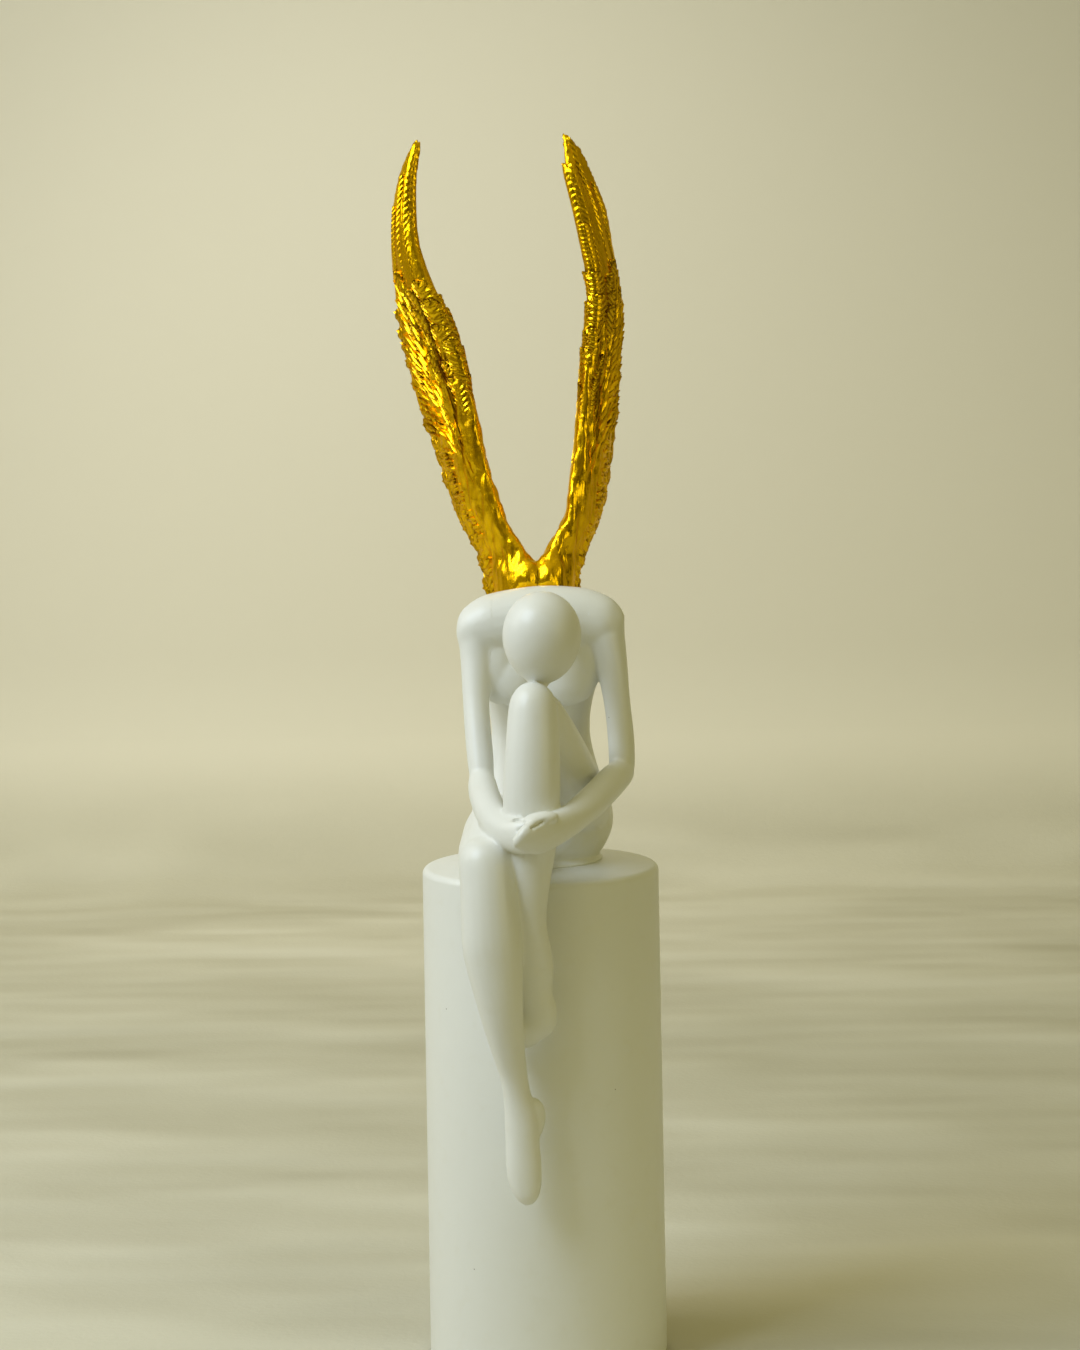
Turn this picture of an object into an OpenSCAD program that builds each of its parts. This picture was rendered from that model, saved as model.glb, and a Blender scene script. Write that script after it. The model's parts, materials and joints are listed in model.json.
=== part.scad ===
// Figure trophy: a seated figure with feathered wings on a round column.
// +Z is up and the figure faces -Y. The origin is the centre of the felt's underside.

/* [Pedestal] */
// Diameter of the column at its top
column_top_d = 90; // [88:1:92]
// Diameter of the column at its foot
column_foot_d = 91.5; // [90:0.5:94]
// Height of the column's top face above the floor
seat_z = 191; // [190:1:192]
// Radius of the rounded rim at the top of the column
rim_r = 3; // [2:0.5:4]
// Thickness of the column's wall
wall = 4.5; // [4:0.5:5]
// Thickness of the column's closed top
top_t = 7; // [6:1:8]
// Thickness of the felt pad
felt_t = 2; // [1:0.5:2]

/* [Base and ballast] */
// Thickness of the base plate
plate_t = 12; // [11:1:14]
// Diameter of the ballast disc
ballast_d = 54; // [48:1:56]
// Thickness of the ballast disc
ballast_t = 30; // [20:1:40]
// Diameter of the tie rod
rod_d = 6; // [6:1:6]
// Radial room round the tie rod where it only passes through
rod_room = 0.35; // [0.3:0.05:0.5]
// Radial room in a screwed or push fit
fit_room = 0.03; // [0.02:0.01:0.04]

/* [Wings] */
// Angle of the wing pins above the horizontal
pull_angle = 20; // [18:1:22]
// Diameter of a wing pin
wing_pin_d = 4; // [3:0.5:4]
// Outer diameter of a wing socket
socket_d = 6; // [5.5:0.5:6]
// Length of a wing socket
socket_l = 12; // [10:1:12]
// Length of a wing pin inside the wing
pin_grip = 8; // [6:1:9]
// Gap between a wing root and the figure's back, and between the two roots
wing_gap = 0.2; // [0.2:0.05:0.3]

/* [Hidden] */

white_paint = "#e6e8e2";
gold_plate = "#d29a12";
steel = "#a8abb0";
brass = "#b59444";

// Sides of the limbs' outlines, and rings between two of their stations
limb_sides = 20;
limb_steps = 3;
wing_sides = 16;
wing_steps = 2;
round_fn = 64;
big = 200;

// Pedestal
shell_foot_r = column_foot_d / 2;
shell_top_r = column_top_d / 2;
cavity_foot_r = shell_foot_r - wall;
cavity_top_z = seat_z - top_t;
plate_top_z = felt_t + plate_t;
plate_room = 0.4;
screw_count = 3;
screw_circle_r = 35.5;
screw_r = 1.9;
screw_head_r = 3.9;
screw_head_t = 2.4;
screw_l = 30;
screw_room = 0.05;
boss_r = 6.5;
boss_h = 22;
boss_set_in = 1.2;

// Tie rod, its nuts and washers
rod_foot_z = 2.6;
insert_r = 5;
insert_l = 15;
rod_top_z = seat_z + insert_l - 1;
recess_r = 9;
recess_depth = 7;
recess_top_z = felt_t + recess_depth;
washer_r = 7.5;
washer_t = 1.2;
nut_across = 10;
nut_t = 5;
ballast_top_z = plate_top_z + ballast_t;

// Dowels and pins of the figure
dowel_r = 2.5;
dowel_reach = 6.5;
seat_dowel_x = 12;
seat_dowel_y = 16;
neck_pin_y = [-42, -14];
neck_pin_xz = [1.2, 286.5];
shoulder_pin_l = 14;
shoulder_pin_r = 2;
shoulder_pin_x = [12, 13];
shoulder_pin_yz = [0.5, 283];
hip_pin_y = [-16, 6];
hip_plane_y = -8;
hip_cut_h = 40;
column_room = 0.2;
right_hip_xz = [-12.5, 204.5];
left_hip_xz = [11.5, 217];

// Planes where the arms meet the shoulders
right_shoulder_x = -17;
left_shoulder_x = 20;

// Head: an egg, blunt end up
head_c = [2, -47.5, 282.3];
head_r = 14.2;
head_half_h = 17;
head_taper = 0.055;
head_tilt = [12, 2, 0];

// Wing seat on the back
seat_c = [0.7, 14, 281];
wing_pin_x = 7;
wing_pin_up = [-7, 5];
wing_seat_w = 38;
wing_seat_h = [-18, 22];
wing_seat_depth = 30;
wing_pin_r = wing_pin_d / 2;

// Stations of the figure's castings: centre x, y, z, half-width and half-depth
torso_rows = [
    [1, 12.5, 187, 16, 14], [1, 12.5, 191.5, 20, 18], [1, 12.5, 197, 24.3, 21.6], [1, 12.5, 205, 27.2, 23.2],
    [1, 13, 215, 26, 21.5], [1, 14, 226, 21.8, 17.6], [1, 15, 240, 18.8, 14.6], [0.8, 13.2, 254, 20.6, 14.8],
    [0.8, 8.8, 268, 24.5, 14.2], [1, 5, 279, 20, 12], [1.2, 3, 287, 12, 7]];
yoke_rows = [
    [-30.3, 0, 280.5, 1, 1], [-29.6, 0, 280.5, 4.2, 4.2], [-27.8, 0, 280.7, 6.9, 6.9], [-24.5, 0.3, 281.3, 9.4, 9],
    [-20, 0.8, 282, 11.3, 10.2], [-13, 1.1, 283.4, 12.1, 10.8], [1.3, 1.5, 284.8, 12.6, 11.2],
    [14, 1.3, 284.6, 12.2, 10.8], [20, 1, 283.8, 11.7, 10.4], [24.5, 0.6, 283, 10.8, 9.9],
    [28, 0.3, 282.2, 9.2, 8.8], [31, 0, 281.5, 6.6, 6.6], [32.7, 0, 281, 4, 4], [33.4, 0, 281, 1, 1]];
neck_rows = [[1.2, 2, 286, 8, 7.5], [1.4, -8, 288, 7, 6.6], [1.7, -20, 288, 6.2, 6.2], [2, -40, 285, 6, 6]];
breast_rows = [[-9, -1.4, 262.8], [11, -1.4, 262.8]];
breast_size = [10.4, 6.4, 10.6];
breast_fn = 24;

right_upper_arm_rows = [
    [-20.5, 0.5, 288, 5, 5], [-21.6, 0, 281, 8, 8.2], [-22.6, -1.8, 270, 6.2, 7.2], [-23.2, -7, 255, 4.9, 5.6],
    [-22.4, -13, 241, 4.9, 5.3], [-21.4, -18, 230, 4.8, 5.1], [-21.2, -19.5, 225.5, 4, 4.2]];
right_forearm_rows = [
    [-21.6, -16, 227.6, 3, 3], [-21.4, -20, 226.3, 4.9, 4.9], [-20.2, -33, 222.5, 5.6, 5.7],
    [-17, -50, 217, 5.6, 5.9], [-12.5, -62, 213.6, 4.9, 6], [-7, -69.5, 213, 4, 6.4],
    [-1, -72.8, 213.6, 3.2, 5.6], [2, -73.4, 214, 1.4, 3]];
left_upper_arm_rows = [
    [23.5, 0.5, 288, 5, 5], [25, 0, 281, 8, 8.2], [28, -1.5, 269, 6.1, 7.2], [30, -5, 254, 4.9, 5.6],
    [31.2, -9, 241, 4.9, 5.3], [31.4, -12, 231, 4.8, 5.1], [31.2, -13, 226.5, 4, 4.2]];
left_forearm_rows = [
    [32.5, -9.5, 229.5, 3, 3], [31.2, -13, 228, 4.8, 4.8], [27.5, -24, 226.2, 5.6, 5.7],
    [20, -42, 221.6, 5.6, 5.9], [12, -58, 217.4, 5.1, 5.7], [5.5, -70, 215.4, 4.3, 6.3],
    [-1, -77, 214.4, 3.6, 7.2], [-6, -79.7, 213, 3.1, 5.8], [-9.3, -80.3, 212, 1.5, 2.8]];

raised_thigh_rows = [
    [15, 14, 209, 13, 14], [13.5, 4, 214, 13.5, 14], [11.5, -10, 222, 12.6, 13.4],
    [7, -28, 236.5, 11, 12], [2.5, -43, 249, 9.6, 10.3], [-0.5, -52, 256, 8.4, 8.6],
    [-1.5, -55, 258.5, 4, 4]];
raised_shin_rows = [
    [-1.4, -52, 266, 1.5, 1.5], [-1.5, -52.5, 264.8, 5, 5.2], [-1.6, -54, 260, 8.3, 8.6],
    [-1.8, -56, 250, 9.4, 9.6], [-2.2, -58, 238, 10, 9.8], [-2.8, -59, 224, 10.3, 9.8],
    [-3.4, -58.5, 208, 9.3, 9], [-4.8, -57.5, 192, 7.8, 7.6], [-5.4, -56, 178, 7.2, 6.6],
    [-4.2, -54.5, 163, 8.4, 6.4], [-4, -53.6, 152, 7.5, 5.8], [-2.2, -53, 144, 7.6, 5.6],
    [-3, -53, 138.5, 6, 4.8], [-4, -53, 136, 2, 2]];
raised_foot_rows = [
    [-1.4, -53, 149.5, 2.4, 2.4], [-1.6, -53, 144.5, 6.2, 5.4], [-6.5, -53, 139, 7, 5.4],
    [-12, -52.5, 136, 5.6, 4.6], [-17, -52, 134, 3.6, 3.4], [-19, -52, 133, 1, 1]];
hanging_thigh_rows = [
    [-12, 14, 204, 14, 12], [-12.5, 4, 205, 15, 13], [-15, -14, 205, 13.8, 12.6],
    [-17.5, -34, 204, 12, 11.4], [-19.2, -50, 202.6, 10.8, 10.6], [-19.6, -58, 201.5, 9, 9],
    [-19.8, -63, 200.5, 4, 4]];
hanging_shin_rows = [
    [-19.8, -59, 211, 2.5, 2.5], [-19.8, -59, 209.3, 6.8, 6.2], [-19.6, -60, 204, 9.9, 9.4],
    [-19, -62, 195, 10.1, 10.2], [-18.4, -64, 182, 10.5, 10.4], [-17.7, -65, 170, 10.7, 10],
    [-15.7, -64.5, 153, 8.6, 8.4], [-13.7, -62, 138, 6.7, 6.8], [-11.4, -58.5, 124.5, 5.1, 5.4],
    [-10, -57, 115, 5, 5.2], [-8.5, -56.4, 106, 6.2, 5.6], [-8.3, -57, 97, 6.2, 5.4],
    [-7.8, -58, 86, 6.4, 5], [-6.8, -58.8, 78, 4.6, 3.8], [-6.2, -59, 74.4, 1.5, 1.3]];
heel_rows = [
    [-8, -54.6, 112, 1.5, 1.5], [-6, -54, 110, 4.6, 4.4], [-4.6, -53.8, 106.5, 5, 4.8],
    [-5, -54.6, 101, 4, 4], [-6, -55, 97, 1.5, 1.5]];

// Stations of a wing: z, leading edge x, y, trailing edge x, y and half-thickness
right_wing_rows = [
    [267, -4, 17, -8, 21, 1.5], [270, -3, 13, -9.5, 26, 4.5], [284, -2, 8, -13.6, 33, 6.8],
    [298, -0.8, 8, -18.6, 38, 6.8], [303, -0.6, 9.5, -20.6, 41.5, 7.4], [306, -2.4, 11, -21.6, 43, 6],
    [309, -4.6, 13, -22.6, 44, 5.2],
    [322, -12, 16, -29.5, 50, 4.8], [336, -17, 18, -34.5, 54, 4.6], [354, -21, 19.5, -40.5, 56, 4.6],
    [371, -24.5, 20.5, -46, 55, 4.6], [386, -27, 21, -49.3, 52, 4.8], [398, -31.5, 21.5, -51, 49, 4.6],
    [410, -37.5, 22, -52.5, 45, 3.9], [426, -43.2, 24, -53.4, 41, 3], [440, -44.4, 26, -52.4, 38, 2.5],
    [453, -44, 28, -49.6, 35, 1.9], [462, -42.4, 30, -45.8, 33, 1.2], [467.5, -41.6, 31.4, -42.4, 31.8, 0.4]];
left_wing_rows = [
    [267, 5.5, 17, 9.5, 21, 1.5], [270, 4.5, 13, 11, 26, 4.5], [284, 3.5, 8, 12.4, 33, 6.8],
    [298, 2.2, 8, 15.8, 38, 6.8], [303, 2, 9.5, 17.8, 41.5, 7.4], [306, 3.8, 11, 19, 43, 6],
    [309, 5.6, 13, 20, 44, 5.2],
    [322, 13, 16, 26, 50, 4.8], [336, 15.8, 18, 29, 54, 4.6], [354, 18.4, 19.5, 31.5, 56, 4.6],
    [371, 20, 20.5, 33.5, 55, 4.6], [386, 21.6, 21, 34.5, 52, 4.8], [398, 23.2, 21.5, 35.4, 49, 4.6],
    [410, 23.6, 22, 34.6, 45, 3.9], [426, 20.8, 24, 31.8, 41, 3.2], [440, 18, 26, 29.6, 38, 2.7],
    [453, 15, 28, 24.4, 35, 2], [462, 14, 30, 20.4, 33, 1.3], [468.5, 13.4, 31.4, 14.6, 31.8, 0.4]];

// Vector and curve helpers
function unit(v) = v / norm(v);
function place(row) = [row[0], row[1], row[2]];
function mixed(rows, i, t) =
    let (last = len(rows) - 1,
         a = rows[max(i - 1, 0)], b = rows[i], c = rows[min(i + 1, last)], d = rows[min(i + 2, last)])
    0.5 * (2 * b + (c - a) * t + (2 * a - 5 * b + 4 * c - d) * t * t + (3 * b - a - 3 * c + d) * t * t * t);
function smooth(rows, steps) =
    [for (i = [0:len(rows) - 2]) for (s = [0:steps - 1]) mixed(rows, i, s / steps), rows[len(rows) - 1]];
function heading(rows, i) =
    unit(place(rows[min(i + 1, len(rows) - 1)]) - place(rows[max(i - 1, 0)]));
function ring(row, along, across, sides) =
    let (u = unit(across - (across * along) * along), v = cross(along, u))
    [for (k = [0:sides - 1])
        let (a = 360 * k / sides)
        place(row) + row[3] * cos(a) * u + row[4] * sin(a) * v];
// A wing's outline at one height: blunt at the leading edge, thin at the trailing edge
function wing_ring(row, sides) =
    let (lead = [row[1], row[2]], chord = [row[3], row[4]] - lead, n = unit([chord[1], -chord[0]]))
    [for (k = [0:sides - 1])
        let (c = (1 - cos(360 * k / sides)) / 2, h = row[5] * sin(360 * k / sides) * (1.3 - 0.9 * c),
             p = lead + chord * c + n * h)
        [p[0], p[1], row[0]]];

// Closed skin over a list of rings
module skin(rings) {
    sides = len(rings[0]);
    last = len(rings) - 1;
    faces = [
        for (i = [0:last - 1]) for (k = [0:sides - 1])
            let (a = i * sides + k, b = i * sides + (k + 1) % sides, c = a + sides, d = b + sides)
            each [[a, c, d], [a, d, b]],
        [for (k = [0:sides - 1]) k],
        [for (k = [0:sides - 1]) last * sides + sides - 1 - k]];
    polyhedron([for (r = rings) each r], faces);
}

// Round limb through its stations
module limb(rows, across = [1, 0, 0]) {
    fine = smooth(rows, limb_steps);
    skin([for (i = [0:len(fine) - 1]) ring(fine[i], heading(fine, i), across, limb_sides)]);
}

module egg(grow = 0) {
    outline = [for (a = [-90:7.5:90])
        [(head_r + grow) * cos(a) * (1 + head_taper * sin(a)), (head_half_h + grow) * sin(a)]];
    translate(head_c) rotate(head_tilt) rotate_extrude($fn = round_fn) polygon(outline);
}

// Straight pin between two values along one axis
module pin_x(x, y, z, l, r) {
    translate([x, y, z]) rotate([0, 90, 0]) cylinder(h = l, r = r, $fn = round_fn);
}

module pin_y(x, z, y, r) {
    translate([x, y[1], z]) rotate([90, 0, 0]) cylinder(h = y[1] - y[0], r = r, $fn = round_fn);
}

// Frame on the back where local Z is the way a wing pulls out and local Y runs up the back
module wing_frame() {
    translate(seat_c) rotate([pull_angle - 90, 0, 0]) children();
}

module wing_pin_places(sides) {
    for (s = sides) for (up = wing_pin_up)
        translate([s * wing_pin_x, -up, 0]) children();
}

// Pedestal
module pedestal_shell() {
    rim = [for (a = [0:15:90]) [shell_top_r - rim_r + rim_r * cos(a), seat_z - rim_r + rim_r * sin(a)]];
    color(white_paint) difference() {
        union() {
            rotate_extrude($fn = 128) polygon(concat(
                [[cavity_foot_r, felt_t], [shell_foot_r, felt_t]], rim,
                [[0, seat_z], [0, cavity_top_z], [shell_top_r - wall, cavity_top_z]]));
            intersection() {
                screw_places() translate([0, 0, plate_top_z]) cylinder(h = boss_h, r = boss_r, $fn = round_fn);
                cylinder(h = big, r = cavity_foot_r + boss_set_in, $fn = 128);
            }
        }
        translate([0, 0, cavity_top_z - 1]) cylinder(h = top_t + 2, r = rod_d / 2 + rod_room, $fn = round_fn);
        for (s = [-1, 1]) translate([s * seat_dowel_x, seat_dowel_y, cavity_top_z - 1])
            cylinder(h = top_t + 2, r = dowel_r, $fn = round_fn);
        screw_places() translate([0, 0, plate_top_z - 1])
            cylinder(h = screw_l + felt_t - plate_top_z + 2, r = screw_r + screw_room, $fn = round_fn);
    }
}

module screw_places() {
    for (i = [0:screw_count - 1]) rotate([0, 0, 90 + 360 * i / screw_count])
        translate([screw_circle_r, 0, 0]) children();
}

module screw_shape(room) {
    cylinder(h = screw_l, r = screw_r + room, $fn = round_fn);
    cylinder(h = screw_head_t, r1 = screw_head_r + room, r2 = screw_r + room, $fn = round_fn);
}

module base_plate() {
    color("#4a3a2c") difference() {
        translate([0, 0, felt_t]) cylinder(h = plate_t, r = cavity_foot_r - plate_room, $fn = 128);
        cylinder(h = recess_top_z, r = recess_r, $fn = round_fn);
        cylinder(h = big, r = rod_d / 2 + rod_room, $fn = round_fn);
        screw_places() translate([0, 0, felt_t]) screw_shape(screw_room * 2);
    }
}

module base_screws() {
    color(steel) screw_places() translate([0, 0, felt_t]) screw_shape(0);
}

module felt_pad() {
    color("#2f4a38") cylinder(h = felt_t, r = shell_foot_r - 2, $fn = 128);
}

module ballast_disc() {
    color("#3c3d40") translate([0, 0, plate_top_z]) difference() {
        cylinder(h = ballast_t, r = ballast_d / 2, $fn = 128);
        translate([0, 0, -1]) cylinder(h = ballast_t + 2, r = rod_d / 2 + rod_room, $fn = round_fn);
    }
}

module tie_rod() {
    color(steel) translate([0, 0, rod_foot_z])
        cylinder(h = rod_top_z - rod_foot_z, r = rod_d / 2, $fn = round_fn);
}

module on_rod(z, h, r, sides) {
    translate([0, 0, z]) difference() {
        cylinder(h = h, r = r, $fn = sides);
        translate([0, 0, -1]) cylinder(h = h + 2, r = rod_d / 2 + fit_room, $fn = round_fn);
    }
}

module rod_washers() {
    color(steel) for (z = [recess_top_z - washer_t, ballast_top_z]) on_rod(z, washer_t, washer_r, round_fn);
}

module rod_nuts() {
    color(steel) for (z = [recess_top_z - washer_t - nut_t, ballast_top_z + washer_t])
        on_rod(z, nut_t, nut_across / 2 / cos(30), 6);
}

// Figure
module seat_insert() {
    color(brass) on_rod(seat_z, insert_l, insert_r, round_fn);
}

module seat_dowels() {
    color(steel) for (s = [-1, 1]) translate([s * seat_dowel_x, seat_dowel_y, seat_z - dowel_reach])
        cylinder(h = 2 * dowel_reach, r = dowel_r, $fn = round_fn);
}

module hip_pins() {
    color(steel) for (p = [right_hip_xz, left_hip_xz]) pin_y(p[0], p[1], hip_pin_y, dowel_r);
}

module neck_pin() {
    color(steel) pin_y(neck_pin_xz[0], neck_pin_xz[1], neck_pin_y, dowel_r);
}

module shoulder_pins() {
    color(steel) {
        pin_x(-shoulder_pin_x[0] - shoulder_pin_l, shoulder_pin_yz[0], shoulder_pin_yz[1], shoulder_pin_l,
              shoulder_pin_r);
        pin_x(shoulder_pin_x[1], shoulder_pin_yz[0], shoulder_pin_yz[1], shoulder_pin_l, shoulder_pin_r);
    }
}

// Parts of space that the castings are cut by
module column_room() {
    cylinder(h = seat_z, r = shell_foot_r + column_room, $fn = round_fn);
}

module before_hips() {
    translate([-big, hip_plane_y - big, 0]) cube([2 * big, big, 2 * big]);
}

module beyond_shoulder(side) {
    translate([side < 0 ? right_shoulder_x - big : left_shoulder_x, -big, 0]) cube([big, 2 * big, 2 * big]);
}

// Limbs before they are fitted to each other
module hanging_limb() {
    intersection() {
        limb(hanging_thigh_rows);
        before_hips();
    }
    limb(hanging_shin_rows);
    limb(heel_rows);
}

module raised_limb() {
    intersection() {
        limb(raised_thigh_rows);
        before_hips();
    }
    limb(raised_shin_rows);
    limb(raised_foot_rows);
}

// The shoulder end of the yoke with an upper arm below it
module arm_limb(side, upper_rows, lower_rows) {
    intersection() {
        union() {
            limb(yoke_rows, [0, 0, 1]);
            limb(upper_rows);
        }
        beyond_shoulder(side);
    }
    limb(lower_rows);
}

module left_limb() {
    arm_limb(1, left_upper_arm_rows, left_forearm_rows);
}

module right_limb() {
    arm_limb(-1, right_upper_arm_rows, right_forearm_rows);
}

// Outer shapes of the castings, fitted to each other
module hanging_leg_shape() {
    difference() {
        hanging_limb();
        column_room();
    }
}

module raised_leg_shape() {
    difference() {
        raised_limb();
        column_room();
        hanging_limb();
        egg();
    }
}

module left_arm_shape() {
    difference() {
        left_limb();
        raised_limb();
    }
}

module right_arm_shape() {
    difference() {
        right_limb();
        raised_limb();
        hanging_limb();
        left_limb();
    }
}

module torso_shape() {
    difference() {
        union() {
            limb(torso_rows);
            intersection() {
                limb(yoke_rows, [0, 0, 1]);
                translate([right_shoulder_x, -big, 0])
                    cube([left_shoulder_x - right_shoulder_x, 2 * big, 2 * big]);
            }
            limb(neck_rows);
            difference() {
                union() {
                    limb(hanging_thigh_rows);
                    limb(raised_thigh_rows);
                }
                before_hips();
            }
            for (p = breast_rows) translate(p) scale(breast_size) sphere(r = 1, $fn = breast_fn);
        }
        translate([-big, -big, -big]) cube([2 * big, 2 * big, big + seat_z]);
        translate([-big, hip_plane_y - big, seat_z - 1]) cube([2 * big, big, hip_cut_h]);
        egg();
        wing_frame() translate([-wing_seat_w / 2, -wing_seat_h[1], 0])
            cube([wing_seat_w, wing_seat_h[1] - wing_seat_h[0], wing_seat_depth]);
        raised_limb();
        left_limb();
        right_limb();
    }
}

// Castings of the figure, bored for their pins
module torso() {
    color(white_paint) difference() {
        resize([0, 0, 0]) torso_shape();
        translate([0, 0, seat_z - 1]) cylinder(h = insert_l + 1, r = insert_r, $fn = round_fn);
        for (s = [-1, 1]) translate([s * seat_dowel_x, seat_dowel_y, seat_z - 1])
            cylinder(h = dowel_reach + 1, r = dowel_r, $fn = round_fn);
        hip_pins();
        neck_pin();
        shoulder_pins();
        wing_frame() wing_pin_places([-1, 1])
            translate([0, 0, -socket_l]) cylinder(h = 2 * socket_l, r = socket_d / 2, $fn = round_fn);
    }
}

module head() {
    color(white_paint) difference() {
        egg();
        neck_pin();
    }
}

module right_arm() {
    color(white_paint) difference() {
        resize([0, 0, 0]) right_arm_shape();
        shoulder_pins();
    }
}

module left_arm() {
    color(white_paint) difference() {
        resize([0, 0, 0]) left_arm_shape();
        shoulder_pins();
    }
}

module raised_leg() {
    color(white_paint) difference() {
        resize([0, 0, 0]) raised_leg_shape();
        hip_pins();
    }
}

module hanging_leg() {
    color(white_paint) difference() {
        resize([0, 0, 0]) hanging_leg_shape();
        hip_pins();
    }
}

module wing_sockets() {
    color(brass) wing_frame() wing_pin_places([-1, 1]) translate([0, 0, -socket_l]) difference() {
        cylinder(h = socket_l, r = socket_d / 2, $fn = round_fn);
        translate([0, 0, -1]) cylinder(h = socket_l + 2, r = wing_pin_r + fit_room, $fn = round_fn);
    }
}

module wing(rows, side) {
    difference() {
        resize([0, 0, 0]) difference() {
            skin([for (row = smooth(rows, wing_steps)) wing_ring(row, wing_sides)]);
            wing_frame() translate([-big / 2, -big, wing_gap - big]) cube(big * [1, 2, 1]);
            translate([seat_c[0] + (side > 0 ? -big : 0) + side * wing_gap / 2, -big, 0]) cube(big * [1, 2, 3]);
        }
        wing_frame() wing_pin_places([side]) cylinder(h = pin_grip, r = wing_pin_r, $fn = round_fn);
    }
}

module left_wing() {
    color(gold_plate) wing(left_wing_rows, 1);
}

module right_wing() {
    color(gold_plate) wing(right_wing_rows, -1);
}

module left_wing_pins() {
    color(steel) wing_frame() wing_pin_places([1]) translate([0, 0, 1 - socket_l])
        cylinder(h = socket_l - 1 + pin_grip, r = wing_pin_r, $fn = round_fn);
}

module right_wing_pins() {
    color(steel) wing_frame() wing_pin_places([-1]) translate([0, 0, 1 - socket_l])
        cylinder(h = socket_l - 1 + pin_grip, r = wing_pin_r, $fn = round_fn);
}

pedestal_shell();
base_plate();
base_screws();
felt_pad();
ballast_disc();
tie_rod();
rod_washers();
rod_nuts();
seat_insert();
seat_dowels();
torso();
head();
neck_pin();
left_arm();
right_arm();
shoulder_pins();
raised_leg();
hanging_leg();
hip_pins();
wing_sockets();
left_wing();
right_wing();
left_wing_pins();
right_wing_pins();
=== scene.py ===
from bisect import bisect
import json
import math
import random

import bpy
from mathutils import Matrix, Vector, noise
from mathutils.bvhtree import BVHTree

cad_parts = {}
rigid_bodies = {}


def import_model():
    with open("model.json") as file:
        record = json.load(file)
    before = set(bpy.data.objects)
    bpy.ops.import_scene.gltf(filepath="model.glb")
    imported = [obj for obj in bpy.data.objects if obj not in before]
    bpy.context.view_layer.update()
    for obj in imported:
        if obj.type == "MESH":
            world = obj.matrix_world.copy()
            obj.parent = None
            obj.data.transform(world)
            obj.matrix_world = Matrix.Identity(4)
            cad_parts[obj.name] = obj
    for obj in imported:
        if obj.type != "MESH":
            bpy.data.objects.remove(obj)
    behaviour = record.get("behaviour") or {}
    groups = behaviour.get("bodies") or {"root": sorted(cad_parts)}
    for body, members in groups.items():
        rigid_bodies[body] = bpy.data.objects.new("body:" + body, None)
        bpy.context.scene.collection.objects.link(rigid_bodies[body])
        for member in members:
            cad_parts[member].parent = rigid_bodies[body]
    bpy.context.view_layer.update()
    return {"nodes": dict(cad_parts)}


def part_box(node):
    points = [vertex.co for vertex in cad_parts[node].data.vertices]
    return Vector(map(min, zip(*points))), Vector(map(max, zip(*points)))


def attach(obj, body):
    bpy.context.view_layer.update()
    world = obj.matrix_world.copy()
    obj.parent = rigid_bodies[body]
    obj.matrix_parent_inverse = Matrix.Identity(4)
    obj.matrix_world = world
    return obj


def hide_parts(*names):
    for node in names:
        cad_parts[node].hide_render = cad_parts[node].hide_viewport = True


# Figure trophy: white cast figure and column, gold wings. Units are metres, +Z up, the figure faces -Y.
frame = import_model()
MM = 0.001
DEG = math.pi / 180
UP = Vector((0, 0, 1))
nodes = frame["nodes"]


# ---------------------------------------------------------------- camera, light and floor
def set_camera():
    data = bpy.data.cameras.new("camera")
    data.sensor_fit = "VERTICAL"
    data.sensor_height = 36
    data.lens = 85
    data.clip_end = 20
    camera = bpy.data.objects.new("camera", data)
    aim = Matrix.Rotation(83.9 * DEG, 4, "X") @ Matrix.Rotation(-1.01 * DEG, 4, "Z")
    camera.matrix_world = Matrix.Translation((1.1 * MM, -1202 * MM, 392.1 * MM)) @ aim
    bpy.context.scene.collection.objects.link(camera)
    bpy.context.scene.camera = camera


def add_light(kind, name, place, target, power, colour, **shape):
    data = bpy.data.lights.new(name, kind)
    for key, value in shape.items():
        setattr(data, key, value)
    data.energy = power
    data.color = colour
    light = bpy.data.objects.new(name, data)
    light.location = place
    light.rotation_euler = (Vector(target) - Vector(place)).to_track_quat("-Z", "Y").to_euler()
    bpy.context.scene.collection.objects.link(light)


def set_lights():
    chest = (0, 0, 0.24)
    add_light("AREA", "window", (-0.79, -0.53, 1.12), chest, 11.5, (0.70, 0.82, 1.0), size=0.7)
    add_light("AREA", "card", (1.1, -0.9, 0.5), chest, 1.7, (1.0, 0.92, 0.45), size=0.6)
    add_light("AREA", "wall_wash", (-0.8, 0.1, 0.75), (-0.2, 1.15, 0.3), 3.8, (1.0, 0.98, 0.92), size=0.7)
    add_light("SPOT", "wall_spot", (-0.3, 0.35, 0.85), (0.02, 1.15, 0.2), 10, (1.0, 0.97, 0.9),
              spot_size=75 * DEG, spot_blend=1, shadow_soft_size=0.1)
    bpy.context.scene.view_settings.view_transform = "Standard"


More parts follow.
